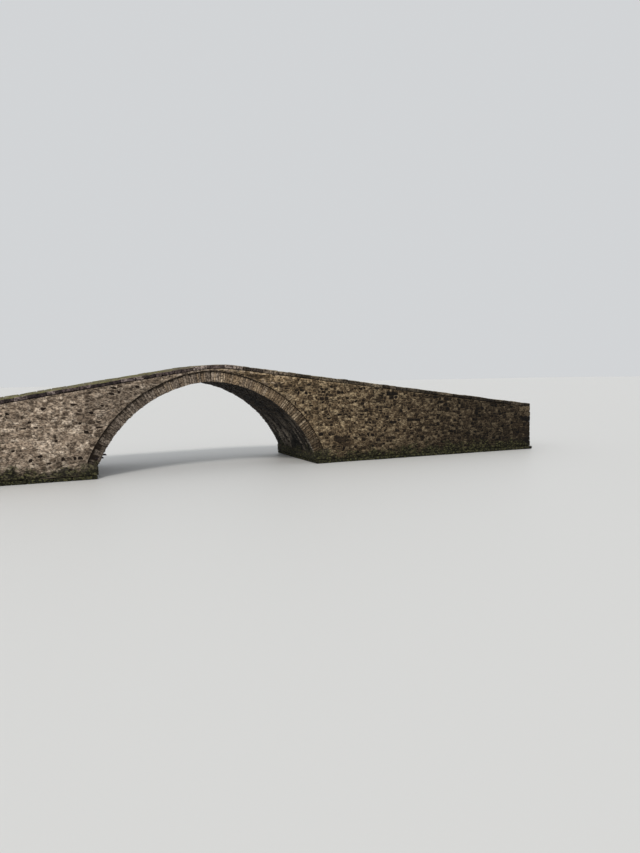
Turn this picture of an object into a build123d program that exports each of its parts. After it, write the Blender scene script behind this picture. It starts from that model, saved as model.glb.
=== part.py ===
from build123d import *
from math import acos, atan, atan2, cos, degrees, hypot, sin
import os

# Hump-backed stone bridge with one slightly pointed arch.
# Millimetres: X along the bridge, Y across it, Z up from the foot of the walls.
# The origin is under the middle of the arch, halfway between the two faces.

# Plan
half_length = 10200
width = 3000
wall_thickness = 500
end_wall_thickness = 500

# Arch, struck from two centres that lie across the middle line from their halves
clear_span = 5700
spring_height = 300
arch_rise = 2015
centre_crossing = 175
ring_depth = 265
ring_length = 400
ring_recess = 60

# Feet
footing_height = 100
footing_ledge = 90
springer_tail = 150
abutment_tail = 900

# Roadway, measured on the tops of the copings
ridge_shift = 130
ridge_cover = 85
left_fall = 0.158
right_fall = 0.133
crest_radius = 4000
crown_reach = 1400

# Copings and paving
coping_thickness = 120
coping_overhang = 40
nosing_radius = 18
deck_thickness = 85
deck_reveal = 42
deck_camber = 30

# Open mortar bed where two curved faces meet
bed_gap = 0.3

# Curve of the arch
half_span = clear_span / 2
centre_drop = (half_span**2 + 2 * half_span * centre_crossing - arch_rise**2) / (2 * arch_rise)
arc_radius = hypot(half_span + centre_crossing, centre_drop)
arc_centre = Vector(-centre_crossing, spring_height - centre_drop)
spring_angle = atan2(centre_drop, half_span + centre_crossing)
back_radius = arc_radius + ring_depth
back_crown_height = arc_centre.Y + (back_radius**2 - centre_crossing**2) ** 0.5

# Stations and levels of the feet
skewback_height = arc_centre.Y + back_radius * sin(spring_angle)
springer_end = half_span + ring_depth * cos(spring_angle) + springer_tail
abutment_end = springer_end + abutment_tail
fill_end = half_length - end_wall_thickness

# Faces across the bridge
wall_face = width / 2
fill_face = wall_face - wall_thickness
ring_face = wall_face - ring_recess
vault_face = ring_face - ring_length

# The ridge is the point where the two ramps would meet without the rounded crest
ridge = Vector(ridge_shift, back_crown_height + ridge_cover + coping_thickness)
left_normal = Vector(-sin(atan(left_fall)), cos(atan(left_fall)))
right_normal = Vector(sin(atan(right_fall)), cos(atan(right_fall)))
crest_normal = (left_normal + right_normal).normalized()
wall_top = coping_thickness + bed_gap
deck_bed = deck_reveal + deck_thickness
fill_top = deck_bed + bed_gap


def ridge_at(depth):
    """Point where the two ramps would meet, at a depth square to the coping tops."""
    point = ridge - crest_normal * (depth / crest_normal.dot(left_normal))
    return point.X, point.Y


def roadway_ends(depth):
    """Points of the ramps at both ends of the bridge, at a depth below the coping tops."""
    peak_x, peak_z = ridge_at(depth)
    left = (-half_length, peak_z - left_fall * (half_length + peak_x))
    right = (half_length, peak_z - right_fall * (half_length - peak_x))
    return left, right


def under_roadway(depth, start, end, foot):
    """Elevation from one station to another, between a level and a line under the roadway."""
    left, right = roadway_ends(depth)
    with BuildSketch() as elevation:
        with BuildLine():
            crest = FilletPolyline(left, ridge_at(depth), right, radius=crest_radius - depth)
            Polyline(crest @ 1, (half_length, foot), (-half_length, foot), crest @ 0)
        make_face()
        with Locations(((start + end) / 2, foot)):
            Rectangle(end - start, ridge.Y, align=(Align.CENTER, Align.MIN), mode=Mode.INTERSECT)
    return elevation.sketch


def pointed_arch(radius):
    """Region under the pointed curve that two crossing circles of one radius make."""
    with BuildSketch() as lens:
        with Locations((-centre_crossing, arc_centre.Y)):
            Circle(radius)
        with Locations((centre_crossing, arc_centre.Y)):
            Circle(radius, mode=Mode.INTERSECT)
    return lens.sketch


def write_piece(piece, name):
    """Label one finished piece and write it under its own name."""
    piece.label = name
    export_step(piece, f"parts/{name}.step")


os.makedirs("parts", exist_ok=True)

# Section of the right half of the arch, from its skewback to the crown
with BuildSketch() as half_band:
    with BuildLine():
        turn = degrees(acos(centre_crossing / arc_radius) - spring_angle)
        back_turn = degrees(acos(centre_crossing / back_radius) - spring_angle)
        inner = CenterArc(arc_centre, arc_radius, degrees(spring_angle), turn)
        outer = CenterArc(arc_centre, back_radius, degrees(spring_angle), back_turn)
        Line(inner @ 0, outer @ 0)
        Line(inner @ 1, outer @ 1)
    make_face()

arch_back = pointed_arch(back_radius + bed_gap)

# Rings of thin radial stones, set back from both faces, in halves that meet at the crown
with BuildPart() as front_right_arch_ring:
    with BuildSketch(Plane.XZ.offset(ring_face)):
        add(half_band.sketch)
    extrude(amount=-ring_length)
with BuildPart() as front_left_arch_ring:
    mirror(front_right_arch_ring.part, about=Plane.YZ)
with BuildPart() as back_right_arch_ring:
    mirror(front_right_arch_ring.part, about=Plane.XZ)
with BuildPart() as back_left_arch_ring:
    mirror(front_left_arch_ring.part, about=Plane.XZ)
write_piece(front_right_arch_ring.part, "front_right_arch_ring")
write_piece(front_left_arch_ring.part, "front_left_arch_ring")
write_piece(back_right_arch_ring.part, "back_right_arch_ring")
write_piece(back_left_arch_ring.part, "back_left_arch_ring")

# Vault between the rings, in the same two halves
with BuildPart() as right_arch_vault:
    with BuildSketch(Plane.XZ):
        add(half_band.sketch)
    extrude(amount=vault_face, both=True)
with BuildPart() as left_arch_vault:
    mirror(right_arch_vault.part, about=Plane.YZ)
write_piece(right_arch_vault.part, "right_arch_vault")
write_piece(left_arch_vault.part, "left_arch_vault")

# Springers: the last level course, its top cut to the slope of the first arch stones
with BuildPart() as right_springer:
    with BuildSketch(Plane.XZ):
        with BuildLine():
            Polyline(
                (half_span, footing_height),
                (half_span, spring_height),
                (springer_end - springer_tail, skewback_height),
                (springer_end, skewback_height),
                (springer_end, footing_height),
                close=True,
            )
        make_face()
    extrude(amount=wall_face, both=True)
with BuildPart() as left_springer:
    mirror(right_springer.part, about=Plane.YZ)
write_piece(right_springer.part, "right_springer")
write_piece(left_springer.part, "left_springer")

# Abutments: the masses behind the springers, which take the thrust of the arch
with BuildPart() as right_abutment:
    with BuildSketch(Plane.XZ):
        with Locations((springer_end, footing_height)):
            Rectangle(
                abutment_end - springer_end,
                skewback_height - footing_height,
                align=(Align.MIN, Align.MIN),
            )
    extrude(amount=wall_face, both=True)
with BuildPart() as left_abutment:
    mirror(right_abutment.part, about=Plane.YZ)
write_piece(right_abutment.part, "right_abutment")
write_piece(left_abutment.part, "left_abutment")

# Footings: one course that stands out round the walls and stops flush under the arch
with BuildPart() as right_footing:
    with Locations((half_span, 0, 0)):
        Box(
            half_length + footing_ledge - half_span,
            width + 2 * footing_ledge,
            footing_height,
            align=(Align.MIN, Align.CENTER, Align.MIN),
        )
with BuildPart() as left_footing:
    mirror(right_footing.part, about=Plane.YZ)
write_piece(right_footing.part, "right_footing")
write_piece(left_footing.part, "left_footing")

# Spandrel walls: they rise from the back of the arch and join over its crown
with BuildPart() as front_spandrel_wall:
    with BuildSketch(Plane.XZ.offset(wall_face)):
        add(under_roadway(wall_top, -abutment_end, abutment_end, skewback_height))
        add(arch_back, mode=Mode.SUBTRACT)
    extrude(amount=-wall_thickness)
with BuildPart() as back_spandrel_wall:
    mirror(front_spandrel_wall.part, about=Plane.XZ)
write_piece(front_spandrel_wall.part, "front_spandrel_wall")
write_piece(back_spandrel_wall.part, "back_spandrel_wall")

# Wing walls: they carry the ramps from the abutments down to the ends
for bank, start, end in (
    ("left", -half_length, -abutment_end),
    ("right", abutment_end, half_length),
):
    with BuildPart() as front_wing_wall:
        with BuildSketch(Plane.XZ.offset(wall_face)):
            add(under_roadway(wall_top, start, end, footing_height))
        extrude(amount=-wall_thickness)
    with BuildPart() as back_wing_wall:
        mirror(front_wing_wall.part, about=Plane.XZ)
    write_piece(front_wing_wall.part, f"front_{bank}_wing_wall")
    write_piece(back_wing_wall.part, f"back_{bank}_wing_wall")

# End walls close the ramps between the wing walls
for bank, start, end in (
    ("left", -half_length, -fill_end),
    ("right", fill_end, half_length),
):
    with BuildPart() as end_wall:
        with BuildSketch(Plane.XZ):
            add(under_roadway(fill_top, start, end, footing_height))
        extrude(amount=fill_face, both=True)
    write_piece(end_wall.part, f"{bank}_end_wall")

# Rubble fill over the arch and behind the abutments, in two halves that meet over the crown
for bank, start, end, foot_end in (
    ("left", -fill_end, 0, -abutment_end),
    ("right", 0, fill_end, abutment_end),
):
    with BuildPart() as rubble_fill:
        with BuildSketch(Plane.XZ):
            add(under_roadway(fill_top, start, end, footing_height))
            with Locations((foot_end / 2, footing_height)):
                Rectangle(
                    abutment_end,
                    skewback_height - footing_height,
                    align=(Align.CENTER, Align.MIN),
                    mode=Mode.SUBTRACT,
                )
            add(arch_back, mode=Mode.SUBTRACT)
        extrude(amount=fill_face, both=True)
    write_piece(rubble_fill.part, f"{bank}_rubble_fill")

# Roadway line that the copings and the paving follow, run past their ends before they are cut
slab_end = half_length + coping_overhang
run_out = coping_overhang + deck_bed
with BuildLine(Plane.XZ) as roadway:
    left, right = roadway_ends(0)
    past_left = (left[0] - run_out, left[1] - left_fall * run_out)
    past_right = (right[0] + run_out, right[1] - right_fall * run_out)
    FilletPolyline(past_left, ridge_at(0), past_right, radius=crest_radius)

across = Plane(origin=roadway.line @ 0, x_dir=(0, 1, 0), z_dir=roadway.line % 0)
stretches = {
    "left": (-slab_end, -crown_reach),
    "crown": (-crown_reach, crown_reach),
    "right": (crown_reach, slab_end),
}

# Coping slabs over the front walls, with a worn nosing on the outer edge
with BuildPart() as coping_run:
    with BuildSketch(across):
        with Locations((-wall_face - coping_overhang, 0)):
            Rectangle(wall_thickness + coping_overhang, coping_thickness, align=(Align.MIN, Align.MAX))
        outer_corners = vertices().group_by(Axis.X)[0]
        fillet(outer_corners, radius=nosing_radius)
    sweep(path=roadway.wire())

# Paving between the copings, with a fall from its middle to both sides
with BuildPart() as paving_run:
    with BuildSketch(across):
        with BuildLine():
            Polyline(
                (-fill_face, -deck_bed),
                (-fill_face, -deck_reveal),
                (0, deck_camber - deck_reveal),
                (fill_face, -deck_reveal),
                (fill_face, -deck_bed),
                close=True,
            )
        make_face()
    sweep(path=roadway.wire())

# Both runs are cut into a slab course on each ramp and one over the crown
for place, (start, end) in stretches.items():
    with BuildPart() as front_coping:
        add(coping_run.part)
        split(bisect_by=Plane.YZ.offset(start), keep=Keep.TOP)
        split(bisect_by=Plane.YZ.offset(end), keep=Keep.BOTTOM)
    with BuildPart() as back_coping:
        mirror(front_coping.part, about=Plane.XZ)
    with BuildPart() as deck:
        add(paving_run.part)
        split(bisect_by=Plane.YZ.offset(start), keep=Keep.TOP)
        split(bisect_by=Plane.YZ.offset(end), keep=Keep.BOTTOM)
    write_piece(front_coping.part, f"front_{place}_coping")
    write_piece(back_coping.part, f"back_{place}_coping")
    write_piece(deck.part, f"{place}_deck")
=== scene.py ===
import random
from math import acos, atan, atan2, cos, hypot, radians, sin, sqrt, tan

import bmesh
import bpy
from mathutils import Matrix, Vector, noise


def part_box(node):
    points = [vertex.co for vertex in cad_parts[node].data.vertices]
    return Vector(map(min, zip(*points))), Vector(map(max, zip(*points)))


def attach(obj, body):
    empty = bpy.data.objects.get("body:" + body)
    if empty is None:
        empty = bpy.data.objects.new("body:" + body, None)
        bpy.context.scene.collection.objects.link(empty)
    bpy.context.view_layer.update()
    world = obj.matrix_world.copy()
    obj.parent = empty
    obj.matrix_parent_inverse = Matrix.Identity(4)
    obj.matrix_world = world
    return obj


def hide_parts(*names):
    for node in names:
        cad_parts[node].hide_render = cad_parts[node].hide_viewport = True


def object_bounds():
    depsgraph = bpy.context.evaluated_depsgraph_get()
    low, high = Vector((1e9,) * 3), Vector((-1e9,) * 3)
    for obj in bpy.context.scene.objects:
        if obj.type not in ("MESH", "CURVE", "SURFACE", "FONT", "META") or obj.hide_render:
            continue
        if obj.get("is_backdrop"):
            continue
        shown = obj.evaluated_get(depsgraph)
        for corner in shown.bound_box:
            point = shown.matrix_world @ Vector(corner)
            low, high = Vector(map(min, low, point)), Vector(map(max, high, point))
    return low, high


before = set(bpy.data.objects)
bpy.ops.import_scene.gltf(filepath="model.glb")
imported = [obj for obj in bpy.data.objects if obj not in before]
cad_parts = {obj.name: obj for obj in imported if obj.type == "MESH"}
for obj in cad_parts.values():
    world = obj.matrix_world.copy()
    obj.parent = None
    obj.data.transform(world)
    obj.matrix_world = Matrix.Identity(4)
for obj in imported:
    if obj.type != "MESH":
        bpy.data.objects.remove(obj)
cad_low, cad_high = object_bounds()

# The bridge in metres: X along it to the right bank, Y across it to the back, Z up from the foot
foot_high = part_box("right_footing")[1]
springer_low, springer_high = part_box("right_springer")
half_span = springer_low.x
half_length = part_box("front_right_wing_wall")[1].x
wall_face = springer_high.y
ring_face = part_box("front_right_arch_ring")[0].y * -1
deck_half_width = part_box("crown_deck")[1].y
footing_height = foot_high.z
skewback_height = springer_high.z
springer_end = springer_high.x
slab_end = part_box("right_deck")[1].x

# Two-centred arch
spring_height = 0.3
arch_rise = 2.015
centre_crossing = 0.175
ring_depth = 0.265
centre_drop = (half_span**2 + 2 * half_span * centre_crossing - arch_rise**2) / (2 * arch_rise)
arc_radius = hypot(half_span + centre_crossing, centre_drop)
back_radius = arc_radius + ring_depth
arc_height = spring_height - centre_drop
spring_angle = atan2(centre_drop, half_span + centre_crossing)
crown_angle = acos(centre_crossing / arc_radius)

# Hump of the roadway on the tops of the copings
ridge_shift = 0.13
ridge_cover = 0.205
ridge_height = arc_height + sqrt(back_radius**2 - centre_crossing**2) + ridge_cover
left_fall = 0.158
right_fall = 0.133
crest_radius = 4.0
coping_thickness = 0.12
deck_reveal = 0.042
deck_camber = 0.03
crest_reach = crest_radius * tan((atan(left_fall) + atan(right_fall)) / 2)
crest_start = ridge_shift - crest_reach * cos(atan(left_fall))
crest_end = ridge_shift + crest_reach * cos(atan(right_fall))
crest_middle = crest_start + crest_radius * sin(atan(left_fall))
crest_centre = ridge_height - crest_reach * sin(atan(left_fall)) - crest_radius * cos(atan(left_fall))


def roadway_height(x):
    """Height of the coping tops at a station along the bridge."""
    if x < crest_start:
        return ridge_height - left_fall * (ridge_shift - x)
    if x > crest_end:
        return ridge_height - right_fall * (x - ridge_shift)
    return crest_centre + sqrt(crest_radius**2 - (x - crest_middle) ** 2)


def roadway_slope(x):
    """Rise of the roadway per metre at a station."""
    if x < crest_start:
        return left_fall
    if x > crest_end:
        return -right_fall
    return (crest_middle - x) / sqrt(crest_radius**2 - (x - crest_middle) ** 2)


def past_arch(x, z, radius):
    """Distance of a point outside the arch curve of one radius, negative inside it."""
    return hypot(abs(x) + centre_crossing, z - arc_height) - radius


# Flat sheets that are cut into the cells of a masonry face

sheet_length, sheet_height = 0, 1
slack = 1e-4
cut_precision = 1e-6
least_last_strip = 0.6

# Wander of the joints over a sheet, a slow one up and down and a quicker one all ways
slow_wander = 0.45
quick_wander = 2.3
quick_share = 0.45
joint_break = (0.4, 0.6)
sheet_noise_reach = 50
wear_seed = 11
noise.seed_set(wear_seed)


def flat_sheet(low, high):
    """A new mesh with one face between two corners, facing up."""
    bm = bmesh.new()
    bmesh.ops.create_grid(bm, x_segments=1, y_segments=1, size=0.5)
    size = Vector((high[0] - low[0], high[1] - low[1], 1))
    middle = Vector(((high[0] + low[0]) / 2, (high[1] + low[1]) / 2, 0))
    bmesh.ops.scale(bm, vec=size, verts=bm.verts)
    bmesh.ops.translate(bm, vec=middle, verts=bm.verts)
    return bm


def split_across(face, point, normal):
    """Cut one convex face along a line; returns the two pieces, or the whole face twice."""
    ends = []
    for loop in list(face.loops):
        here = (loop.vert.co - point).dot(normal)
        there = (loop.link_loop_next.vert.co - point).dot(normal)
        if abs(here) < slack:
            ends.append(loop.vert)
        elif abs(there) >= slack and here * there < 0:
            ends.append(bmesh.utils.edge_split(loop.edge, loop.vert, here / (here - there))[1])
    if len(ends) != 2:
        return face, face
    other = bmesh.utils.face_split(face, ends[0], ends[1])[0]
    halves = [face, other] if other else [face]
    halves.sort(key=lambda half: (half.calc_center_bounds() - point).dot(normal))
    return halves[0], halves[-1]


def sliced(faces, rng, axis, low, high, lean=0.0):
    """Cut each face across one axis into strips of random size, with joints that lean at random."""
    strips = []
    for face in faces:
        start = min(vert.co[axis] for vert in face.verts)
        end = max(vert.co[axis] for vert in face.verts)
        at = start + rng.uniform(low, high)
        while at < end - low * least_last_strip:
            point = Vector(face.calc_center_bounds())
            point[axis] = at
            normal = Vector((rng.uniform(-lean, lean), rng.uniform(-lean, lean), 0))
            normal[axis] = 1
            strip, rest = split_across(face, point, normal)
            if strip is not rest:
                strips.append(strip)
                face = rest
            at += rng.uniform(low, high)
        strips.append(face)
    return strips


def roughen_joints(bm, rng, longest, sway, jitter):
    """Break long joint lines and let all of them wander, without moving the neighbours apart."""
    for edge in [edge for edge in bm.edges if edge.calc_length() > longest]:
        bmesh.utils.edge_split(edge, edge.verts[0], rng.uniform(*joint_break))
    patch = Vector((rng.uniform(0, sheet_noise_reach), rng.uniform(0, sheet_noise_reach), 0))
    for vert in bm.verts:
        slow = noise.noise_vector((vert.co + patch) * slow_wander) * sway
        quick = noise.noise_vector((vert.co + patch) * quick_wander) * sway * quick_share
        shake = Vector((rng.uniform(-jitter, jitter), rng.uniform(-jitter, jitter), 0))
        vert.co += Vector((0, slow.y, 0)) + Vector((quick.x, quick.y, 0)) + shake


def trim(bm, point, normal):
    """Cut the whole sheet along a line and drop what lies past it."""
    geometry = [*bm.verts, *bm.edges, *bm.faces]
    bmesh.ops.bisect_plane(bm, geom=geometry, plane_co=point, plane_no=normal, clear_outer=True)


def cut_face(bm, face, point, normal):
    """Cut one face along a line."""
    geometry = [face, *face.edges, *face.verts]
    bmesh.ops.bisect_plane(bm, geom=geometry, plane_co=point, plane_no=normal, dist=cut_precision)


def cut_along(bm, point, normal, near):
    """Cut the faces that a line crosses, where near() holds for their middle."""
    for face in list(bm.faces):
        sides = [(vert.co - point).dot(normal) for vert in face.verts]
        if min(sides) < -slack and max(sides) > slack and near(face.calc_center_bounds()):
            cut_face(bm, face, point, normal)


def cut_along_arch(bm, radius):
    """Cut the faces that the arch curve of one radius crosses, each by a tangent of the curve."""
    for face in list(bm.faces):
        sides = [past_arch(vert.co.x, vert.co.y, radius) for vert in face.verts]
        if min(sides) < -slack and max(sides) > slack:
            middle = face.calc_center_bounds()
            centre = Vector((-centre_crossing if middle.x > 0 else centre_crossing, arc_height, 0))
            outward = (middle - centre).normalized()
            cut_face(bm, face, centre + outward * radius, outward)


def join_stones(bm, large_stones):
    """Join the cells of a sheet whose middles lie in a place of given width and height."""
    for x, y, wide, high in large_stones:
        covered = []
        for face in bm.faces:
            middle = face.calc_center_bounds()
            if abs(middle.x - x) < wide / 2 and abs(middle.y - y) < high / 2:
                covered.append(face)
        if len(covered) > 1:
            bmesh.ops.dissolve_faces(bm, faces=covered)


# Places of the finishes in the list of a piece
of_stone, of_mortar, of_hollow = 0, 1, 2

# How a cell becomes a stone, with insets in widths of the joint and heights in shares of the relief
stone_levels = 4
narrowest_cell = 3.5
joint_inset = 0.8
joint_inset_step = 0.3
corner_rounding = 0.4
corner_rounds = 2
rise_inset = 0.3
arris_inset = 1.2
least_rise = 0.4
rise_step = 0.2
arris_rise = 0.3
pointed_levels = 2
stone_tilt = 0.05
crown_bulge = (-0.1, 0.3)

# Steps down into the place of a lost stone: finish, inset in joints, share of the sheet's thickness
hollow_steps = ((of_mortar, 0.7, 0.25), (of_hollow, 0.5, 0.15))


def give_tones(bm, rng):
    """Give each cell a tone and a hue of its own, and take it all for mortar."""
    tone = bm.faces.layers.float.new("tone")
    hue = bm.faces.layers.float.new("hue")
    for face in bm.faces:
        face[tone] = rng.random()
        face[hue] = rng.random()
        face.material_index = of_mortar


def thickened(bm, thickness):
    """Close a sheet into a slab of some thickness; returns the faces of its front."""
    made = bmesh.ops.extrude_face_region(bm, geom=list(bm.faces), use_keep_orig=True)
    front = [item for item in made["geom"] if isinstance(item, bmesh.types.BMFace)]
    for vert in {vert: True for face in front for vert in face.verts}:
        vert.co.z += thickness
    return front


def with_joints(bm, front, joint):
    """Lay joints of mortar round the cells that are wide enough; returns those cells."""
    cells = [face for face in front if 2 * face.calc_area() > narrowest_cell * joint * face.calc_perimeter()]
    for level in range(stone_levels):
        group = cells[level::stone_levels]
        for face in group:
            face.material_index = of_stone
        inset = joint * (joint_inset + joint_inset_step * level)
        edging = bmesh.ops.inset_individual(bm, faces=group, thickness=inset)
        for face in edging["faces"]:
            face.material_index = of_mortar
    outlines = list({vert: True for face in cells for vert in face.verts})
    for _ in range(corner_rounds):
        bmesh.ops.smooth_vert(bm, verts=outlines, factor=corner_rounding, use_axis_x=True, use_axis_y=True)
    return cells


def lost_stones(rng, cells, share, places, thickness):
    """Pick the lost stones, a share by chance and those nearest to some places.

    They are of the larger half of the cells, but not of the largest tenth.
    """
    by_size = sorted(cells, key=lambda face: face.calc_area())
    large = by_size[len(cells) // 2 : len(cells) * 9 // 10]
    lost = {face: True for face in rng.sample(large, int(len(cells) * share))}
    for place in places:
        spot = Vector((*place, thickness))
        lost[min(large, key=lambda face: (face.calc_center_bounds() - spot).length)] = True
    return list(lost)


def hollow_out(bm, lost, joint, thickness):
    """Sink the places of the lost stones in steps."""
    for kind, inset, share in hollow_steps:
        for face in lost:
            face.material_index = kind
        bmesh.ops.inset_individual(bm, faces=lost, thickness=joint * inset, depth=-thickness * share)


def raise_stones(bm, rng, joint, relief, thickness, lost_share=0.0, lost_places=(), pointed=False):
    """Give a sheet its thickness and raise its cells into stones, but for the lost ones.

    Where it is pointed, the mortar comes up over the edges of the stones.
    """
    give_tones(bm, rng)
    cells = with_joints(bm, thickened(bm, thickness), joint)
    hollow_out(bm, lost_stones(rng, cells, lost_share, lost_places, thickness), joint, thickness)
    stones = [face for face in cells if face.material_index == of_stone]
    for level in range(stone_levels):
        group = stones[level::stone_levels]
        height = relief * (least_rise + rise_step * level)
        sides = bmesh.ops.inset_individual(bm, faces=group, thickness=joint * rise_inset, depth=height)
        inset = joint * arris_inset
        arris = bmesh.ops.inset_individual(bm, faces=group, thickness=inset, depth=relief * arris_rise)
        if pointed:
            for face in sides["faces"] + (arris["faces"] if level < pointed_levels else []):
                face.material_index = of_mortar
    for face in stones:
        middle = face.calc_center_median()
        tilt = Vector((rng.uniform(-stone_tilt, stone_tilt), rng.uniform(-stone_tilt, stone_tilt), 0))
        for vert in face.verts:
            vert.co.z += (vert.co - middle).dot(tilt)
    fans = bmesh.ops.poke(bm, faces=stones)
    for vert in fans["verts"]:
        vert.co.z += rng.uniform(*crown_bulge) * relief


def placed(bm, place):
    """Move each point of a flat sheet to its place on the bridge and turn the faces outwards."""
    for vert in bm.verts:
        vert.co = place(*vert.co)
    bmesh.ops.recalc_face_normals(bm, faces=bm.faces)


# Single dressed blocks, rounded where an edge turns by more than so many radians

sharp_turn = 1
block_wear_scale = 7
block_noise_reach = 100


def add_block(bm, rng, low, high, place, rounding, uneven, kind=of_stone):
    """Add one dressed block, laid out flat between two corners, worn and then put in its place."""
    block = bmesh.new()
    low, high = Vector(low), Vector(high)
    shape = Matrix.Translation((low + high) / 2) @ Matrix.Diagonal((*(high - low), 1))
    bmesh.ops.create_cube(block, size=1, matrix=shape)
    bmesh.ops.subdivide_edges(block, edges=block.edges, cuts=1, use_grid_fill=True)
    sharp = [side for side in block.edges if side.calc_face_angle() > sharp_turn]
    bmesh.ops.bevel(
        block, geom=sharp, offset=rounding, affect="EDGES", segments=1, profile=0.5, material=-1
    )
    patch = Vector([rng.uniform(0, block_noise_reach) for _ in range(3)])
    for vert in block.verts:
        wear = noise.noise_vector(vert.co * block_wear_scale + patch) * uneven
        vert.co = place(*(vert.co + wear))
    bmesh.ops.recalc_face_normals(block, faces=block.faces)
    tone = block.faces.layers.float.new("tone")
    hue = block.faces.layers.float.new("hue")
    colour = rng.random(), rng.random()
    for face in block.faces:
        face[tone], face[hue] = colour
        face.material_index = kind
    blank = bpy.data.meshes.new("block")
    block.to_mesh(blank)
    block.free()
    bm.from_mesh(blank)
    bpy.data.meshes.remove(blank)


def stretches(rng, start, stop, shortest, longest, least_last):
    """Stretches of random length one after the other, the last one no shorter than its least."""
    while start < stop:
        end = min(start + rng.uniform(shortest, longest), stop)
        if stop - end < least_last:
            end = stop
        yield start, end
        start = end


# Pieces and their finishes

smooth_turn = radians(38)


def finished(bm, name, materials, replaced=()):
    """Make a piece of a mesh, with its materials and the nodes that it stands for."""
    mesh = bpy.data.meshes.new(name)
    bm.to_mesh(mesh)
    bm.free()
    for material in materials:
        mesh.materials.append(material)
    mesh.shade_smooth()
    mesh.set_sharp_from_angle(angle=smooth_turn)
    piece = bpy.data.objects.new(name, mesh)
    bpy.context.scene.collection.objects.link(piece)
    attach(piece, "root")
    if replaced:
        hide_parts(*replaced)


def dress(node, material):
    """Give a node of the frame its finish."""
    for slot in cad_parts[node].material_slots:
        slot.material = material


# Material nodes


def linear(red, green, blue):
    """A colour from 0 to 255 as the linear colour that a socket takes."""
    return (*[((value / 255 + 0.055) / 1.055) ** 2.4 for value in (red, green, blue)], 1)


def add_node(tree, kind, inputs, **settings):
    """A node with its settings and its inputs, each a value or another node's output."""
    made = tree.nodes.new(kind)
    for name, value in settings.items():
        setattr(made, name, value)
    for socket, value in inputs.items():
        if isinstance(value, bpy.types.NodeSocket):
            tree.links.new(value, made.inputs[socket])
        else:
            made.inputs[socket].default_value = value
    return made


def speckle(tree, where, scale, detail=4.0, roughness=0.6):
    """Noise from 0 to 1 at so many features a metre."""
    inputs = {"Vector": where, "Scale": scale, "Detail": detail, "Roughness": roughness}
    return add_node(tree, "ShaderNodeTexNoise", inputs).outputs["Fac"]


def spread(tree, value, low, high, to_low=0.0, to_high=1.0):
    """A value mapped smoothly from one range to another, and held at its ends."""
    inputs = {"Value": value, "From Min": low, "From Max": high, "To Min": to_low, "To Max": to_high}
    made = add_node(tree, "ShaderNodeMapRange", inputs, interpolation_type="SMOOTHSTEP")
    return made.outputs["Result"]


def reckon(tree, operation, first, second=0.0):
    """One sum on two values."""
    return add_node(tree, "ShaderNodeMath", {0: first, 1: second}, operation=operation).outputs[0]


def added(tree, total, *others):
    """The sum of several values."""
    for other in others:
        total = reckon(tree, "ADD", total, other)
    return total


def multiplied(tree, first, second):
    """The product of two values."""
    return reckon(tree, "MULTIPLY", first, second)


def weighed(tree, value, weight):
    """A value from 0 to 1 taken about its middle and given a weight."""
    return multiplied(tree, reckon(tree, "SUBTRACT", value, 0.5), weight)


def blend(tree, amount, under, over, kind="MIX"):
    """One colour laid on another by an amount."""
    inputs = {"Factor": amount, 6: under, 7: over}
    made = add_node(tree, "ShaderNodeMix", inputs, data_type="RGBA", blend_type=kind)
    return made.outputs[2]


def colours(tree, value, stops):
    """A run of colours over a value, from evenly spaced stops."""
    made = add_node(tree, "ShaderNodeValToRGB", {"Fac": value})
    run = made.color_ramp.elements
    while len(run) < len(stops):
        run.new(0.5)
    for index, stop in enumerate(stops):
        run[index].position = index / (len(stops) - 1)
        run[index].color = linear(*stop)
    return made.outputs["Color"]


# Sizes of the patterns in the stone, in features a metre
broad_scale = 0.6
patch_scale = 3.5
pit_scale = 9
mottle_scale = 14
grit_scale = 26
fine_scale = 70

# Surface of the stone
surface_roughness = 0.9
surface_gloss = 0.2
grain_strength = 0.5
grain_height = 0.04

# Colours of what lies on the stone, of painted shade and of edges that are partly painted highlight, the
# runs of them from dark to light
pit_tone = (36, 27, 19)
lime_tone = (154, 144, 130)
crust_tone = (10, 9, 6)
# painted shade under the edge of the wall over the ring
wall_edge_shade_tone = (40, 32, 25)
# pale edges of the slabs, partly wear and partly painted highlight
rubbed_and_lit_tone = (160, 150, 126)
slime_tones = [(6, 6, 4), (26, 26, 15), (88, 86, 56)]
moss_tones = [(74, 73, 30), (108, 107, 50), (142, 140, 78)]


def stone_patterns(tree, run):
    """The places, directions and noises that a finish is made of, some drawn out along a run."""
    where = add_node(tree, "ShaderNodeTexCoord", {}).outputs["Object"]
    axes = add_node(tree, "ShaderNodeSeparateXYZ", {"Vector": where}).outputs
    facing = add_node(tree, "ShaderNodeNewGeometry", {}).outputs["Normal"]
    laid = add_node(tree, "ShaderNodeMapping", {"Vector": where, "Scale": run}).outputs["Vector"]
    hue = add_node(tree, "ShaderNodeAttribute", {}, attribute_name="hue").outputs["Fac"]
    broad = speckle(tree, where, broad_scale, detail=3)
    pits = speckle(tree, laid, pit_scale, detail=5, roughness=0.7)
    return {
        "where": where,
        "X": axes["X"],
        "Z": axes["Z"],
        "upward": add_node(tree, "ShaderNodeSeparateXYZ", {"Vector": facing}).outputs["Z"],
        "tone": add_node(tree, "ShaderNodeAttribute", {}, attribute_name="tone").outputs["Fac"],
        "bank": added(tree, axes["X"], weighed(tree, broad, 3.5), weighed(tree, hue, 2.5)),
        "broad": broad,
        "patchy": speckle(tree, where, patch_scale, detail=5),
        "mottled": speckle(tree, laid, mottle_scale, detail=4, roughness=0.65),
        "gritty": speckle(tree, laid, grit_scale, detail=3, roughness=0.6),
        "fine": speckle(tree, where, fine_scale, detail=3, roughness=0.6),
        "pitted": spread(tree, pits, 0.56, 0.63),
    }


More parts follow.
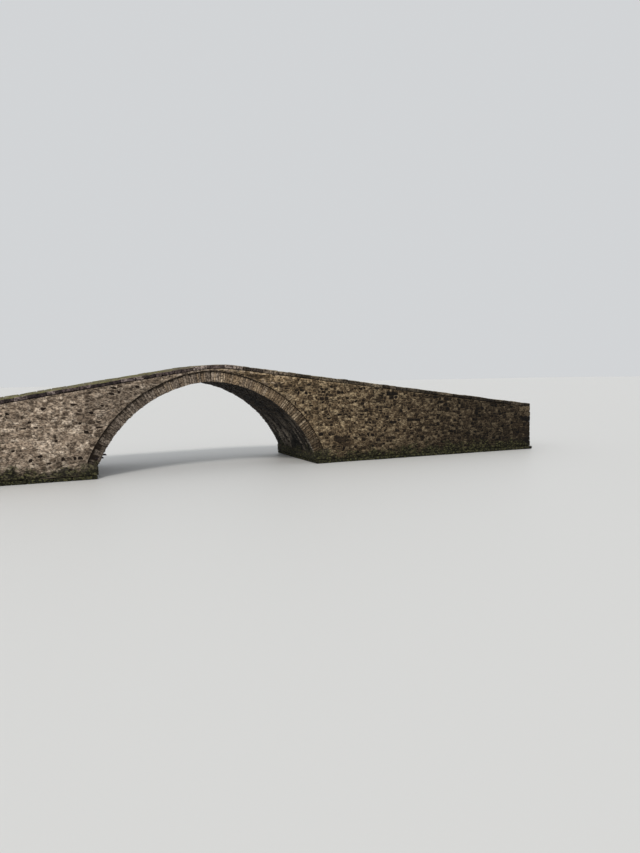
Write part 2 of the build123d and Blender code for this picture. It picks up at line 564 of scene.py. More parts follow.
def stone_colour(tree, pattern, cool, warm, contrast):
    """The stone's colour, cool towards the left bank and warm towards the right, where a darker warm run, as
    in the rubble, is partly painted shade.
    """
    stone = weighed(tree, pattern["tone"], contrast)
    mottles = weighed(tree, pattern["mottled"], 1.3)
    shade = added(tree, stone, mottles, weighed(tree, pattern["patchy"], 0.7), 0.5)
    warmth = spread(tree, pattern["bank"], -1.8, 1.8)
    return blend(tree, warmth, colours(tree, shade, cool), colours(tree, shade, warm))


def lay_grain(tree, pattern, colour, grit, shades):
    """Grit in the stone, and the shades over it that darken or lighten it along an axis, some of them
    painted shade.
    """
    value = spread(tree, pattern["gritty"], 0.36, 0.64, *grit)
    value = multiplied(tree, value, spread(tree, pattern["fine"], 0.3, 0.7, 0.82, 1.16))
    for axis, begin, end, share in shades:
        value = multiplied(tree, value, spread(tree, pattern[axis], begin, end, 1, share))
    grey = add_node(tree, "ShaderNodeCombineColor", {0: value, 1: value, 2: value}).outputs[0]
    return blend(tree, 1.0, colour, grey, "MULTIPLY")


def lay_pits(tree, pattern, colour, pits):
    """Dark pits, of one strength on the left bank and another on the right."""
    depth = spread(tree, pattern["bank"], -1, 4, *pits)
    return blend(tree, multiplied(tree, pattern["pitted"], depth), colour, linear(*pit_tone))


def lay_lime(tree, pattern, colour, amount):
    """Runs of lime down the lower part of the arch, with dark crusts between them."""
    runs = add_node(tree, "ShaderNodeMapping", {"Vector": pattern["where"], "Scale": (0.4, 1.8, 0.7)})
    low = spread(tree, pattern["Z"], 0.4, 1.5, 1, 0.03)
    for tone, scale, roughness, begin, end, most in (
        (lime_tone, 2.0, 0.72, 0.46, 0.58, amount),
        (crust_tone, 1.3, 0.68, 0.5, 0.54, 0.95),
    ):
        run = speckle(tree, runs.outputs["Vector"], scale, detail=6, roughness=roughness)
        run = spread(tree, run, begin, end, 0, most)
        colour = blend(tree, multiplied(tree, run, low), colour, linear(*tone))
    return colour


def paint_shade_under_wall_edge(tree, pattern, colour, amount):
    """Painted shade on the ring close under the edge of the wall, and little of it past the crown."""
    aside = reckon(tree, "ADD", reckon(tree, "ABSOLUTE", pattern["X"]), centre_crossing)
    upwards = reckon(tree, "SUBTRACT", pattern["Z"], arc_height)
    ray = add_node(tree, "ShaderNodeCombineXYZ", {"X": aside, "Z": upwards}).outputs[0]
    reach = add_node(tree, "ShaderNodeVectorMath", {0: ray}, operation="LENGTH").outputs["Value"]
    reach = added(tree, reach, weighed(tree, pattern["patchy"], 0.12))
    wall_edge_shade = spread(tree, reach, back_radius - 0.07, back_radius - 0.005, 0, amount)
    wall_edge_shade = multiplied(tree, wall_edge_shade, spread(tree, pattern["X"], 0.8, 2.2, 1, 0.15))
    return blend(tree, wall_edge_shade, colour, linear(*wall_edge_shade_tone))


def rub_and_light_edges(tree, pattern, colour, amount):
    """Edges between the tops and the sides of the slabs made pale, partly rubbed and partly a painted
    highlight.
    """
    slant = reckon(tree, "ABSOLUTE", reckon(tree, "SUBTRACT", pattern["upward"], 0.62))
    rubbed_and_lit = spread(tree, slant, 0.15, 0.35, amount, 0)
    rubbed_and_lit = multiplied(tree, rubbed_and_lit, spread(tree, pattern["patchy"], 0.4, 0.6, 0.3, 1))
    return blend(tree, rubbed_and_lit, colour, linear(*rubbed_and_lit_tone))


def lay_slime(tree, pattern, colour, height):
    """Damp and slime from the foot up to a ragged line."""
    patches = weighed(tree, pattern["patchy"], -0.9)
    edge = added(tree, pattern["Z"], patches, weighed(tree, pattern["mottled"], -0.3))
    damp = spread(tree, reckon(tree, "DIVIDE", edge, height), 0.45, 1, 0.94, 0.0)
    slime = added(tree, pattern["mottled"], weighed(tree, pattern["gritty"], 1.2))
    return blend(tree, damp, colour, colours(tree, spread(tree, slime, 0.2, 0.8), slime_tones))


def lay_moss(tree, pattern, colour, moss):
    """Patches of moss on what faces up, of one amount on the left bank and another on the right."""
    patch = added(
        tree,
        weighed(tree, pattern["broad"], 3.0),
        weighed(tree, pattern["patchy"], 2.0),
        weighed(tree, pattern["mottled"], 1.2),
        spread(tree, pattern["X"], -2.5, 0.5, *moss),
    )
    growth = spread(tree, patch, 0.2, 0.75, 0, 0.9)
    growth = multiplied(tree, growth, spread(tree, pattern["upward"], 0.6, 0.9))
    return blend(tree, growth, colour, colours(tree, pattern["mottled"], moss_tones))


def stone_relief(tree, pattern):
    """The fine relief of the surface, with its pits, as a direction."""
    grain = multiplied(tree, pattern["mottled"], 0.6)
    relief = added(tree, grain, multiplied(tree, pattern["gritty"], 0.4))
    relief = reckon(tree, "SUBTRACT", relief, multiplied(tree, pattern["pitted"], 0.4))
    inputs = {"Height": relief, "Strength": grain_strength, "Distance": grain_height}
    return add_node(tree, "ShaderNodeBump", inputs).outputs["Normal"]


def stone_finish(
    name,
    cool,
    warm,
    contrast=0.35,
    grit=(0.8, 1.15),
    pits=(0.3, 0.5),
    run=(1, 1, 1),
    # darker towards the right bank, partly damp and partly painted shade
    shades=(("X", 3, 9, 0.34),),
    wet=0.0,
    moss=(0, 0),
    # pale slab edges, partly wear and partly painted highlight
    worn=0.0,
    limed=0.0,
    # strength of the painted shade on the ring under the wall's edge
    shade_under_wall=0.0,
):
    """Weathered stone, with its runs of cool and warm colours from dark to light.

    Each of the shades holds an axis, two stations on it and the share of brightness left past the second
    one; the default fall towards the right bank is partly damp and partly painted shade.
    """
    material = bpy.data.materials.new(name)
    material.use_nodes = True
    tree = material.node_tree
    pattern = stone_patterns(tree, run)
    colour = stone_colour(tree, pattern, cool, warm, contrast)
    colour = lay_grain(tree, pattern, colour, grit, shades)
    colour = lay_pits(tree, pattern, colour, pits)
    if limed:
        colour = lay_lime(tree, pattern, colour, limed)
    # painted shade on the ring under the wall's edge
    if shade_under_wall:
        colour = paint_shade_under_wall_edge(tree, pattern, colour, shade_under_wall)
    # pale slab edges, partly wear and partly painted highlight
    if worn:
        colour = rub_and_light_edges(tree, pattern, colour, worn)
    if wet:
        colour = lay_slime(tree, pattern, colour, wet)
    if moss != (0, 0):
        colour = lay_moss(tree, pattern, colour, moss)
    shader = tree.nodes["Principled BSDF"]
    tree.links.new(colour, shader.inputs["Base Color"])
    shader.inputs["Roughness"].default_value = surface_roughness
    shader.inputs["Specular IOR Level"].default_value = surface_gloss
    tree.links.new(stone_relief(tree, pattern), shader.inputs["Normal"])
    return material


# Finishes

rubble_grit = (0.42, 1.53)
rubble_run = (0.8, 0.8, 1.4)
# Rubble darker over the left haunch, lighter again past the crown, darker towards the foot and lighter near
# the top; the fall towards the right bank is partly damp and partly painted shade
rubble_shades = (
    ("X", -4, -1.5, 0.55),
    ("X", -1, 2.2, 1.76),
    ("X", 2.2, 9, 0.28),
    ("Z", 0.9, 0.4, 0.78),
    ("Z", 2.1, 2.35, 1.38),
)
# The rubble's warm run is darker than its cool one: partly brown stone, partly painted shade on the right
# bank
rubble_stone = stone_finish(
    "rubble_stone_finish",
    cool=[(78, 66, 55), (122, 107, 92), (152, 135, 118), (200, 184, 166)],
    warm=[(20, 15, 10), (56, 45, 32), (94, 78, 58), (160, 141, 112)],
    contrast=1.05,
    grit=rubble_grit,
    pits=(0.75, 0.9),
    run=rubble_run,
    shades=rubble_shades,
    wet=0.4,
)
rubble_mortar = stone_finish(
    "rubble_mortar_finish",
    cool=[(86, 74, 62), (144, 129, 113), (190, 174, 156)],
    warm=[(44, 35, 25), (116, 99, 76), (168, 151, 123)],
    contrast=0.5,
    grit=rubble_grit,
    pits=(0.8, 0.9),
    run=rubble_run,
    shades=rubble_shades,
    wet=0.4,
)
# Near black: painted shadow deep in the holes of lost stones
painted_hollow_shadow = stone_finish(
    "painted_hollow_shadow_finish",
    cool=[(15, 11, 8), (42, 32, 23)],
    warm=[(12, 9, 6), (30, 23, 16)],
)
ring_stone = stone_finish(
    "ring_stone_finish",
    cool=[(84, 74, 65), (118, 106, 94), (152, 139, 126)],
    warm=[(86, 72, 57), (131, 112, 89), (169, 151, 127)],
    contrast=0.7,
    grit=(0.4, 1.6),
    pits=(0.75, 0.75),
    shades=(("X", -0.9, -1.6, 0.72), ("X", 1.4, 2.6, 0.6), ("Z", 1.3, 0.5, 0.6)),
    wet=0.42,
    # painted shade under the wall's edge
    shade_under_wall=0.8,
)
ring_mortar = stone_finish(
    "ring_mortar_finish",
    cool=[(48, 41, 33), (80, 69, 58)],
    warm=[(84, 69, 51), (128, 110, 86)],
    shades=(("X", 1.2, 2.2, 0.3), ("Z", 1.3, 0.5, 0.6)),
    wet=0.42,
    # painted shade under the wall's edge
    shade_under_wall=0.9,
)
# Mostly painted shade under the arch, darkest towards its crown, over the stone's own dark brown; the lime
# runs and crusts are stains
soffit_stone_in_painted_shade = stone_finish(
    "soffit_stone_in_painted_shade_finish",
    cool=[(12, 9, 6), (36, 29, 22), (78, 66, 52)],
    warm=[(8, 6, 4), (30, 24, 18), (72, 61, 48)],
    contrast=0.8,
    grit=(0.35, 1.7),
    pits=(0.9, 0.9),
    shades=(("Z", 1.5, 2.1, 0.7),),
    wet=0.45,
    limed=0.9,
)
# Mostly painted shade under the arch
soffit_mortar_in_painted_shade = stone_finish(
    "soffit_mortar_in_painted_shade_finish",
    cool=[(22, 17, 13), (38, 31, 24)],
    warm=[(20, 15, 11), (34, 27, 20)],
    wet=0.45,
    limed=0.55,
)
jamb_stone = stone_finish(
    "jamb_stone_finish",
    cool=[(62, 56, 45), (88, 81, 67), (114, 106, 90)],
    warm=[(36, 31, 24), (62, 54, 43), (94, 84, 69)],
    grit=(0.5, 1.5),
    pits=(0.7, 0.8),
    wet=0.42,
)
foot_stone = stone_finish(
    "foot_stone_finish",
    cool=[(40, 38, 27), (56, 53, 37), (76, 72, 52)],
    warm=[(24, 22, 15), (38, 35, 25), (54, 50, 36)],
    wet=0.3,
)
coping_stone = stone_finish(
    "coping_stone_finish",
    cool=[(32, 26, 27), (74, 63, 62), (126, 115, 110)],
    warm=[(26, 22, 17), (61, 53, 43), (108, 97, 80)],
    contrast=0.8,
    grit=(0.35, 1.75),
    pits=(0.5, 0.5),
    # lighter towards the crown; darker towards the right bank, partly damp and partly painted shade
    shades=(("X", -2.5, 0, 1.3), ("X", 3, 9, 0.34)),
    moss=(0.8, 0.15),
    # pale slab edges, partly wear and partly painted highlight
    worn=0.45,
)
slate = stone_finish(
    "slate_finish",
    cool=[(34, 28, 32), (52, 45, 50)],
    warm=[(34, 28, 32), (52, 45, 50)],
)
paving_stone = stone_finish(
    "paving_stone_finish",
    cool=[(88, 82, 66), (112, 105, 86), (134, 126, 104)],
    warm=[(84, 78, 60), (106, 98, 76), (128, 119, 94)],
    # a milder fall towards the right bank, partly painted shade
    shades=(("X", 3, 9, 0.7),),
    moss=(0.2, 0.1),
)
paving_bed = stone_finish(
    "paving_bed_finish",
    cool=[(58, 52, 38), (80, 76, 44), (110, 108, 58)],
    warm=[(52, 47, 34), (72, 68, 40), (100, 98, 52)],
    # a milder fall towards the right bank, partly painted shade
    shades=(("X", 3, 9, 0.7),),
)
core_rubble = stone_finish(
    "core_rubble_finish",
    cool=[(84, 76, 64), (104, 94, 80), (124, 112, 96)],
    warm=[(70, 60, 48), (90, 78, 62), (110, 96, 78)],
)
rubble_finishes = [rubble_stone, rubble_mortar, painted_hollow_shadow]

# Rubble of the two long faces

rubble_joint = 0.006
rubble_relief = 0.015
sheet_thickness = 0.02
sheet_sunk = 0.01
sheet_limit = 0.034
wall_top_drop = coping_thickness + 0.003
lift_heights = (0.25, 0.4)
bay_lengths = (0.2, 0.5)
course_heights = (0.05, 0.11)
stone_lengths = (0.06, 0.18)
divided_share = 0.96
crest_cuts = 8

# Edge of the rubble over the ring
arch_weld = 0.004
ragged_edge = 0.02
springer_cut_reach = 0.3

# The left bank is pointed nearly flush, from this station over this run, to this share of the relief
flush_station = 1.5
flush_run = 3
flush_share = 0.5


def lay_rubble(bm, rng):
    """Cut a sheet into lifts, then bays of different lengths, then courses and stones."""
    lifts = sliced(list(bm.faces), rng, sheet_height, *lift_heights)
    bays = sliced(lifts, rng, sheet_length, *bay_lengths, lean=0.3)
    courses = sliced(bays, rng, sheet_height, *course_heights, lean=0.16)
    divided = [face for face in courses if rng.random() < divided_share]
    sliced(divided, rng, sheet_length, *stone_lengths, lean=0.5)
    roughen_joints(bm, rng, longest=0.1, sway=0.08, jitter=0.014)


def trim_under_roadway(bm, drop):
    """Trim a sheet so far below the roadway line, by its two slopes and tangents of its crest."""
    for step in range(crest_cuts + 1):
        x = crest_start + (crest_end - crest_start) * step / crest_cuts
        trim(bm, Vector((x, roadway_height(x) - drop, 0)), Vector((-roadway_slope(x), 1, 0)))


def open_arch(bm, rng):
    """Cut the arch and its springers out of a sheet of rubble, with a ragged edge over the ring."""
    cut_along_arch(bm, back_radius)
    beside = springer_end + springer_cut_reach
    cut_along(bm, Vector((0, skewback_height, 0)), Vector((0, 1, 0)), lambda at: abs(at.x) < beside)
    for bank in (-1, 1):
        jamb = Vector((bank * springer_end, 0, 0))
        cut_along(bm, jamb, Vector((1, 0, 0)), lambda at: at.y < skewback_height)
    gone = []
    for face in bm.faces:
        middle = face.calc_center_median()
        if middle.y > skewback_height and past_arch(middle.x, middle.y, back_radius) < 0:
            gone.append(face)
        if middle.y < skewback_height and abs(middle.x) < springer_end:
            gone.append(face)
    bmesh.ops.delete(bm, geom=gone, context="FACES")
    bmesh.ops.remove_doubles(bm, verts=bm.verts, dist=arch_weld)
    for vert in bm.verts:
        above = vert.co.y > skewback_height + ragged_edge
        if above and past_arch(vert.co.x, vert.co.y, back_radius) < arch_weld:
            vert.co.y += rng.uniform(0, ragged_edge)


# Middle, width and height of the larger stones seen in the front face, and middles of its holes
front_large_stones = [
    (-3.99, 0.84, 0.42, 0.27),
    (-3.32, 1.04, 0.6, 0.18),
    (-4.55, 0.93, 0.5, 0.15),
    (-3.1, 1.5, 0.35, 0.16),
    (-2.95, 0.62, 0.4, 0.15),
    (3.6, 0.62, 0.34, 0.2),
    (3.75, 0.52, 0.5, 0.18),
    (1.15, 2.45, 0.5, 0.13),
    (6.9, 1.75, 0.6, 0.12),
]
front_lost_stones = [
    (-3.92, 1.76),
    (-4.34, 1.48),
    (-4.16, 1.19),
    (-3.76, 1.05),
    (-2.73, 1.29),
    (-3.6, 0.55),
    (-4.39, 0.49),
    (-4.7, 0.72),
    (-2.92, 1.62),
    (-3.33, 1.84),
    (-2.31, 2.04),
    (-4.49, 1.26),
    (-4.16, 0.68),
    (-3.23, 0.67),
    (-3.33, 0.52),
    (2.42, 1.99),
    (2.23, 1.7),
    (2.54, 1.42),
    (3.31, 1.25),
    (3.16, 2.0),
    (4.52, 1.05),
    (5.04, 1.2),
    (4.33, 0.7),
    (6.35, 1.14),
    (5.03, 1.89),
]
back_large_stones = [(-stone[0], *stone[1:]) for stone in front_large_stones]


def on_face(side):
    """How a point laid out on a long face comes to its place."""

    def place(along, up, out):
        raised = max(0, out - sheet_thickness)
        flush = 1 - flush_share * min(1, max(0, (flush_station - along) / flush_run))
        out = min(out, sheet_thickness) + raised * flush - sheet_sunk
        return Vector((along, side * (wall_face + min(out, sheet_limit)), up))

    return place


for side, name, large, lost, lost_share in (
    (-1, "front_rubble_face", front_large_stones, front_lost_stones, 0.022),
    (1, "back_rubble_face", back_large_stones, [], 0.03),
):
    rng = random.Random(name)
    sheet = flat_sheet((-half_length, footing_height), (half_length, cad_high.z))
    lay_rubble(sheet, rng)
    join_stones(sheet, large)
    trim_under_roadway(sheet, wall_top_drop)
    open_arch(sheet, rng)
    raise_stones(
        sheet, rng, rubble_joint, rubble_relief, sheet_thickness, lost_share, lost, pointed=True
    )
    placed(sheet, on_face(side))
    finished(sheet, name, rubble_finishes)

# Stones of the arch ring, laid out along the mean line of the ring and bent round the arch

mean_radius = arc_radius + ring_depth / 2
ring_half_length = mean_radius * (crown_angle - spring_angle)
ring_stone_depth = 0.25
ring_stone_proud = 0.015
ring_stone_widths = (0.045, 0.085)
narrowest_ring_stone = 0.04
ring_start = 0.004
ring_joint = 0.009
ring_wear = (0.007, 0.003)
face_steps = (-0.008, 0.006)
top_gaps = (0.001, 0.02)
underside_drop = 0.012
underside_steps = (-0.006, 0.008)
crown_gap = 0.002
ring_finishes = [ring_stone, soffit_stone_in_painted_shade, painted_hollow_shadow]
# Slot of the ring stones' undersides, which take the soffit's finish of painted shade under the arch
of_underside_in_painted_shade = 1

# Right haunch of the front ring: its length, a wide square stone, uneven faces and open joints
worn_length = 2.4
worn_face_step = 0.03
worn_joint = 0.007
square_stone_station = 3.08
square_stone_width = 0.19

# Decayed left foot of the front ring: its length, thick, short and lost stones
decayed_length = 1.5
decayed_gap = 0.06
thick_stone_share = 0.3
thick_stone_widths = (0.1, 0.15)
short_stone_share = 0.3
short_stone_gaps = (0.02, 0.07)
lost_ring_stations = (0.24, 0.44, 0.5)
stump_heights = (0.06, 0.13)
stump_gap = 0.004
hollow_face = 0.002


def on_ring(bank, side):
    """How a point on the laid out ring of one bank and side comes to its place on the bridge."""

    def place(along, out, deep):
        angle = spring_angle + along / mean_radius
        reach = mean_radius + out
        x = max(crown_gap, reach * cos(angle) - centre_crossing)
        return Vector((bank * x, side * (ring_face + deep), arc_height + reach * sin(angle)))

    return place


def lay_half_ring(ring, rng, bank, side):
    """Lay the stones of one half ring, from its springing up to the crown."""
    place = on_ring(bank, side)
    decayed = side < 0 and bank < 0
    worn = side < 0 and bank > 0
    start = ring_start
    while start < ring_half_length:
        width = rng.uniform(*ring_stone_widths)
        if decayed and rng.random() < thick_stone_share:
            width = rng.uniform(*thick_stone_widths)
        end = min(start + width, ring_half_length)
        if worn and start < square_stone_station < end:
            end = start + square_stone_width
        if ring_half_length - end < narrowest_ring_stone:
            end = ring_half_length
        face = ring_stone_proud + rng.uniform(*face_steps)
        joint = ring_joint
        if worn:
            haunch = min(1, max(0, worn_length - start))
            face += rng.uniform(0, worn_face_step) * haunch
            joint += worn_joint * haunch
        top = ring_depth / 2 - rng.uniform(*top_gaps)
        if decayed:
            top -= rng.uniform(0, decayed_gap) * max(0, 1 - start / decayed_length)
            if rng.random() < short_stone_share:
                top -= rng.uniform(*short_stone_gaps)
        bottom = -ring_depth / 2 - underside_drop + rng.uniform(*underside_steps)
        if decayed and any(start < station < end for station in lost_ring_stations):
            stump = bottom + rng.uniform(*stump_heights)
            low = (start, stump + stump_gap, hollow_face - ring_stone_depth)
            high = (end - joint, top, hollow_face)
            add_block(ring, rng, low, high, place, *ring_wear, kind=of_hollow)
            top = stump
        low = (start, bottom, face - ring_stone_depth)
        add_block(ring, rng, low, (end - joint, top, face), place, *ring_wear)
        start = end


for side, name in ((-1, "front_ring_stones"), (1, "back_ring_stones")):
    rng = random.Random(name)
    ring = bmesh.new()
    for bank in (-1, 1):
        lay_half_ring(ring, rng, bank, side)
    # Faces under the arch curve take the soffit's finish, painted shade under the arch
    for face in ring.faces:
        middle = face.calc_center_median()
        if past_arch(middle.x, middle.z, arc_radius) < 0 and abs(middle.y) < ring_face - 0.01:
            face.material_index = of_underside_in_painted_shade
    finished(ring, name, ring_finishes)

# Two thin slates that stand out of the opening's left foot, each by its tip and its underside

slate_places = ((2.63, 0.555), (2.7, 0.485))
slate_length = 0.2
slate_width = 0.24
slate_proud = 0.008
slate_thickness = 0.024
slate_wear = (0.004, 0.003)


def stay(x, y, z):
    """A block that is laid out where it stands."""
    return Vector((x, y, z))


rng = random.Random("slates")
slates = bmesh.new()
for tip, bottom in slate_places:
    low = (-tip - slate_length, -ring_face - slate_proud, bottom)
    high = (-tip, -ring_face + slate_width, bottom + slate_thickness)
    add_block(slates, rng, low, high, stay, *slate_wear)
finished(slates, "left_foot_slates", [slate])

# Lining of the underside of the arch between the rings

soffit_half_width = ring_face + ring_stone_proud - ring_stone_depth
soffit_half_length = arc_radius * (crown_angle - spring_angle)
soffit_courses = (0.05, 0.09)
soffit_lengths = (0.2, 0.55)


def on_soffit(along, across, out):
    """A point of the laid out underside, measured from the crown, comes to its place."""
    angle = crown_angle - abs(along) / arc_radius
    reach = arc_radius - out + sheet_sunk
    x = max(0, reach * cos(angle) - centre_crossing)
    return Vector((x if along > 0 else -x, across, arc_height + reach * sin(angle)))


rng = random.Random("soffit_stones")
soffit = flat_sheet((-soffit_half_length, -soffit_half_width), (soffit_half_length, soffit_half_width))
courses = sliced(list(soffit.faces), rng, sheet_length, *soffit_courses)
sliced(courses, rng, sheet_height, *soffit_lengths, lean=0.05)
roughen_joints(soffit, rng, longest=0.3, sway=0.008, jitter=0.003)
for vert in soffit.verts:
    vert.co.y = max(-soffit_half_width, min(soffit_half_width, vert.co.y))
raise_stones(soffit, rng, joint=0.005, relief=0.012, thickness=0.016, lost_share=0.02)
placed(soffit, on_soffit)
finished(soffit, "soffit_stones", [soffit_stone_in_painted_shade, soffit_mortar_in_painted_shade, painted_hollow_shadow])

# Squared blocks of the springers, in two courses whose heights are shares of the springer

springer_proud = 0.018
springer_length = springer_end - half_span + springer_proud
springer_width = wall_face + springer_proud
springer_courses = ((0, 0.52), (0.54, 0.99))

# Shortest and longest length of the blocks in a course, and the least of the last one
springer_blocks = (0.3, 0.55, 0.25)
springer_splits = (0.16, 0.24)
springer_inset = 0.01
springer_joint = 0.01
springer_wear = (0.01, 0.004)
skewback_end = back_radius * cos(spring_angle) - centre_crossing


def on_springer(bank):
    """How a point laid out from the opening comes to its place, its top cut to the skewback."""

    def place(outward, across, up):
        x = half_span - springer_proud + outward
        slope = (skewback_height - spring_height) / (skewback_end - half_span)
        top = min(skewback_height, spring_height + max(0, x - half_span) * slope)
        return Vector((bank * x, across, footing_height + up * (top - footing_height)))

    return place


for bank, name in ((-1, "left_springer_stones"), (1, "right_springer_stones")):
    rng = random.Random(name)
    springer = bmesh.new()
    for bottom, top in springer_courses:
        for start, end in stretches(rng, -springer_width, springer_width, *springer_blocks):
            split = rng.uniform(*springer_splits)
            inset = rng.uniform(0, springer_inset)
            for near, far in ((inset, split), (split + springer_joint, springer_length)):
                high = (far, end - springer_joint, top)
                add_block(springer, rng, (near, start, bottom), high, on_springer(bank), *springer_wear)
    finished(springer, name, [jamb_stone])

# Rough blocks of the footings round a plain core

footing_ledge_width = 0.3
footing_core_inset = 0.1
footing_core_height = 0.092
core_wear = (0.004, 0)
footing_wear = (0.016, 0.006)
footing_inset = 0.008
footing_joint = 0.006
footing_end_depth = 0.25
side_blocks = (0.3, 0.65, 0.242)
side_steps = (0, 0.03)
side_gaps = (0.004, 0.02)
end_blocks = (0.3, 0.6, 0.2)
end_steps = (0, 0.02)
end_gaps = (0.002, 0.02)


def on_footing(bank):
    """How a point laid out from the middle of the bridge comes to its bank."""

    def place(outward, across, up):
        return Vector((bank * outward, across, up))

    return place


for bank, name, node in (
    (-1, "left_footing_stones", "left_footing"),
    (1, "right_footing_stones", "right_footing"),
):
    rng = random.Random(name)
    footing = bmesh.new()
    place = on_footing(bank)
    near, far = sorted((abs(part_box(node)[0].x), abs(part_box(node)[1].x)))
    reach = foot_high.y
    inner = reach - footing_ledge_width
    low = (near + footing_core_inset, -inner, 0)
    high = (far - footing_core_inset, inner, footing_core_height)
    add_block(footing, rng, low, high, place, *core_wear)
    for start, end in stretches(rng, near + footing_inset, far - footing_inset, *side_blocks):
        for side in (-1, 1):
            outer = reach - footing_inset - rng.uniform(*side_steps)
            low_y, high_y = sorted((side * inner, side * outer))
            top = footing_height - rng.uniform(*side_gaps)
            low = (start + footing_joint, low_y, footing_joint)
            add_block(footing, rng, low, (end - footing_joint, high_y, top), place, *footing_wear)
    for low_x, high_x in (
        (near + footing_inset, near + footing_end_depth),
        (far - footing_end_depth, far - footing_inset),
    ):
        for start, end in stretches(rng, -inner, inner, *end_blocks):
            outer = high_x - rng.uniform(*end_steps)
            top = footing_height - rng.uniform(*end_gaps)
            low = (low_x, start, footing_joint)
            add_block(footing, rng, low, (outer, end - 2 * footing_joint, top), place, *footing_wear)
    for vert in footing.verts:
        vert.co.z = max(0, vert.co.z)
    finished(footing, name, [foot_stone], replaced=[node])

# Coping slabs of many lengths

coping_inner = deck_half_width + 0.004
coping_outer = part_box("front_crown_coping")[0].y * -1
coping_wear = (0.016, 0.011)
coping_slabs = (0.16, 0.5, 0.14)
slab_outer_gaps = (0.008, 0.03)
slab_start_gaps = (0.001, 0.006)
slab_end_gaps = (0.001, 0.008)
slab_bottom_gaps = (0.0, 0.022)
slab_top_gaps = (0.006, 0.016)


def on_roadway(x, y, below):
    """A point laid out under the line of the coping tops."""
    return Vector((x, y, roadway_height(x) + below))


for side, way in ((-1, "front"), (1, "back")):
    rng = random.Random(way)
    crown_start, crown_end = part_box(f"{way}_crown_coping")
    stations = [-slab_end, crown_start.x, crown_end.x, slab_end]
    for part, first, last in zip(("left", "crown", "right"), stations, stations[1:]):
        node = f"{way}_{part}_coping"
        slabs = bmesh.new()
        for start, end in stretches(rng, first, last, *coping_slabs):
            outer = coping_outer - rng.uniform(*slab_outer_gaps)
            low_y, high_y = sorted((side * coping_inner, side * outer))
            low_x = start + rng.uniform(*slab_start_gaps)
            low = (low_x, low_y, rng.uniform(*slab_bottom_gaps) - coping_thickness)
            high = (end - rng.uniform(*slab_end_gaps), high_y, -rng.uniform(*slab_top_gaps))
            add_block(slabs, rng, low, high, on_roadway, *coping_wear)
        finished(slabs, f"{node}_slabs", [coping_stone], replaced=[node])

# Cobbles of the roadway

cobble_rows = (0.12, 0.2)
cobble_widths = (0.12, 0.26)
cobble_limit = 0.01
roadway_half_length = slab_end - 0.01
roadway_half_width = deck_half_width - 0.005


def on_deck(x, y, up):
    """A point laid out on the cambered roadway between the copings."""
    camber = deck_camber * (1 - abs(y) / deck_half_width)
    height = roadway_height(x) - deck_reveal + camber + min(up - sheet_sunk, cobble_limit)
    return Vector((x, y, height))


rng = random.Random("cobbles")
cobbles = flat_sheet((-roadway_half_length, -roadway_half_width), (roadway_half_length, roadway_half_width))
rows = sliced(list(cobbles.faces), rng, sheet_length, *cobble_rows)
sliced(rows, rng, sheet_height, *cobble_widths, lean=0.2)
roughen_joints(cobbles, rng, longest=0.15, sway=0.01, jitter=0.01)
for vert in cobbles.verts:
    vert.co.x = max(-roadway_half_length, min(roadway_half_length, vert.co.x))
    vert.co.y = max(-roadway_half_width, min(roadway_half_width, vert.co.y))
raise_stones(cobbles, rng, joint=0.008, relief=0.008, thickness=0.011)
placed(cobbles, on_deck)
finished(cobbles, "roadway_cobbles", [paving_stone, paving_bed])

# Rubble of the two ends

paving_depth = 0.09


def on_end(bank):
    """How a point laid out on an end wall comes to its place."""

    def place(across, up, out):
        return Vector((bank * (half_length + min(out - sheet_sunk, sheet_limit)), across, up))

    return place


for bank, name in ((-1, "left_end_rubble"), (1, "right_end_rubble")):
    rng = random.Random(name)
    top = roadway_height(bank * half_length) - deck_reveal - paving_depth
    sheet = flat_sheet((-wall_face, footing_height), (wall_face, top))
    lay_rubble(sheet, rng)
    trim(sheet, Vector((0, top, 0)), Vector((0, 1, 0)))
    raise_stones(
        sheet, rng, rubble_joint, rubble_relief, sheet_thickness, lost_share=0.035, pointed=True
    )
    placed(sheet, on_end(bank))
    finished(sheet, name, rubble_finishes)

# Corner stones, laid short and long in turn, up to a gap under the coping at one station of each bank

corner_proud = 0.032
corner_tops = {-1: (-half_length, 0.005), 1: (half_length - 0.4, 0.012)}
corner_courses = (0.12, 0.17, 0.08)
corner_bed = 0.002
corner_joint = 0.01
corner_inset = 0.008
corner_wear = (0.012, 0.006)
short_leg, long_leg = 0.22, 0.4
reach_steps = (-0.03, 0.05)
depth_steps = (-0.03, 0.03)


def on_corner(bank, side):
    """How a point laid out inwards from a corner comes to its place."""

    def place(inward, inside, height):
        x = bank * (half_length + corner_proud - inward)
        return Vector((x, side * (wall_face + corner_proud - inside), height))

    return place


for bank, bank_name in ((-1, "left"), (1, "right")):
    for side, side_name in ((-1, "front"), (1, "back")):
        name = f"{side_name}_{bank_name}_corner_stones"
        rng = random.Random(name)
        corner = bmesh.new()
        station, gap = corner_tops[bank]
        top = roadway_height(station) - wall_top_drop - gap
        legs = short_leg, long_leg
        for start, end in stretches(rng, footing_height + corner_bed, top, *corner_courses):
            reach = legs[0] + rng.uniform(*reach_steps)
            depth = legs[1] + rng.uniform(*depth_steps)
            low = (rng.uniform(0, corner_inset), rng.uniform(0, corner_inset), start)
            high = (reach, depth, end - corner_joint)
            add_block(corner, rng, low, high, on_corner(bank, side), *corner_wear)
            legs = legs[::-1]
        finished(corner, name, [rubble_stone])

# Finishes of the masonry behind the stones

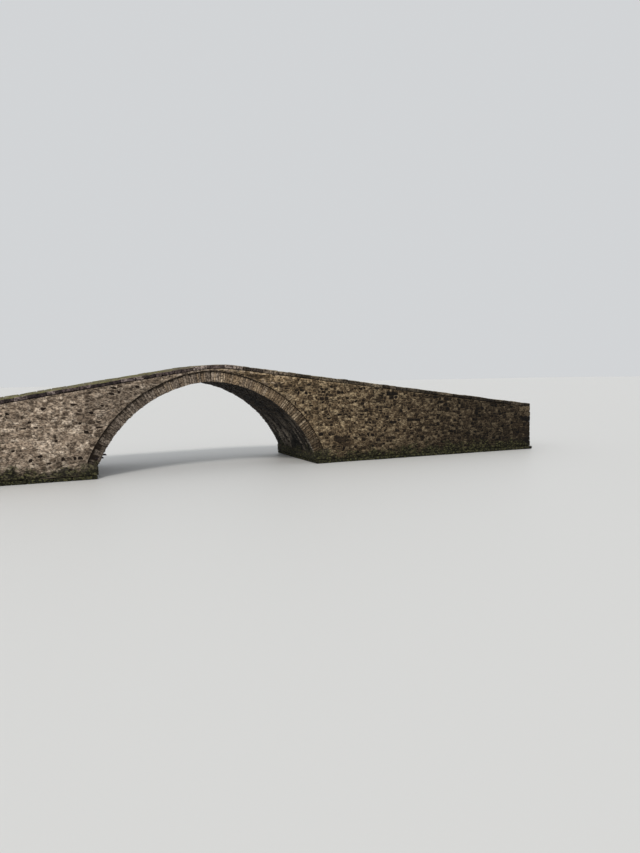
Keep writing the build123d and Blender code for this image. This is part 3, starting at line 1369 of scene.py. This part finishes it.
for node in ("front_left", "front_right", "back_left", "back_right"):
    dress(f"{node}_arch_ring", ring_mortar)
    dress(f"{node}_wing_wall", rubble_mortar)
for node in ("front_spandrel_wall", "back_spandrel_wall", "left_end_wall", "right_end_wall"):
    dress(node, rubble_mortar)
for bank in ("left", "right"):
    dress(f"{bank}_arch_vault", soffit_mortar_in_painted_shade)
    dress(f"{bank}_springer", jamb_stone)
    dress(f"{bank}_abutment", core_rubble)
    dress(f"{bank}_footing", foot_stone)
    dress(f"{bank}_rubble_fill", core_rubble)
for part in ("left", "crown", "right"):
    dress(f"front_{part}_coping", coping_stone)
    dress(f"back_{part}_coping", coping_stone)
    dress(f"{part}_deck", paving_bed)

# Camera at the viewing angle of the photo, level with the crown and left of the arch's middle

camera_place = (-4.383, -18.608, 2.4)
camera_lens = 28.74
camera_reach = 600
view_turn = -0.40765
view_drop = 0.0741
view_roll = -0.0155
turn = Matrix.Rotation(view_turn, 3, "Z")
ahead = turn @ Vector((0, cos(view_drop), -sin(view_drop)))
aside = turn @ Vector((cos(view_roll), sin(view_roll) * sin(view_drop), sin(view_roll) * cos(view_drop)))
above = aside.cross(ahead)
camera_turn = Matrix((aside, above, -ahead)).transposed().to_4x4()
camera_data = bpy.data.cameras.new("camera")
camera_data.lens = camera_lens
camera_data.clip_end = camera_reach
camera = bpy.data.objects.new("camera", camera_data)
camera.matrix_world = Matrix.Translation(camera_place) @ camera_turn
bpy.context.scene.collection.objects.link(camera)
bpy.context.scene.camera = camera

# Pale floor

floor_half_width = 250
floor_tone = (0.7, 0.7, 0.69, 1)
floor_mesh = bmesh.new()
bmesh.ops.create_grid(floor_mesh, x_segments=1, y_segments=1, size=floor_half_width)
floor_data = bpy.data.meshes.new("floor")
floor_mesh.to_mesh(floor_data)
floor_mesh.free()
floor_finish = bpy.data.materials.new("floor")
floor_finish.use_nodes = True
floor_finish.node_tree.nodes["Principled BSDF"].inputs["Base Color"].default_value = floor_tone
floor_data.materials.append(floor_finish)
floor = bpy.data.objects.new("floor", floor_data)
bpy.context.scene.collection.objects.link(floor)
floor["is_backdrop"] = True

# Soft light

sky_tone = (0.86, 0.88, 0.9, 1)
sky_strength = 0.75
sun_tone = (1, 0.96, 0.9)
sun_strength = 1.6
sun_softness = radians(12)
sun_direction = (radians(48), 0, radians(-32))
bpy.context.scene.view_settings.view_transform = "Standard"
sky = bpy.data.worlds.new("sky")
sky.use_nodes = True
sky.node_tree.nodes["Background"].inputs["Color"].default_value = sky_tone
sky.node_tree.nodes["Background"].inputs["Strength"].default_value = sky_strength
bpy.context.scene.world = sky
sun_data = bpy.data.lights.new("sun", "SUN")
sun_data.energy = sun_strength
sun_data.angle = sun_softness
sun_data.color = sun_tone
sun = bpy.data.objects.new("sun", sun_data)
sun.rotation_euler = sun_direction
bpy.context.scene.collection.objects.link(sun)

low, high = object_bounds()
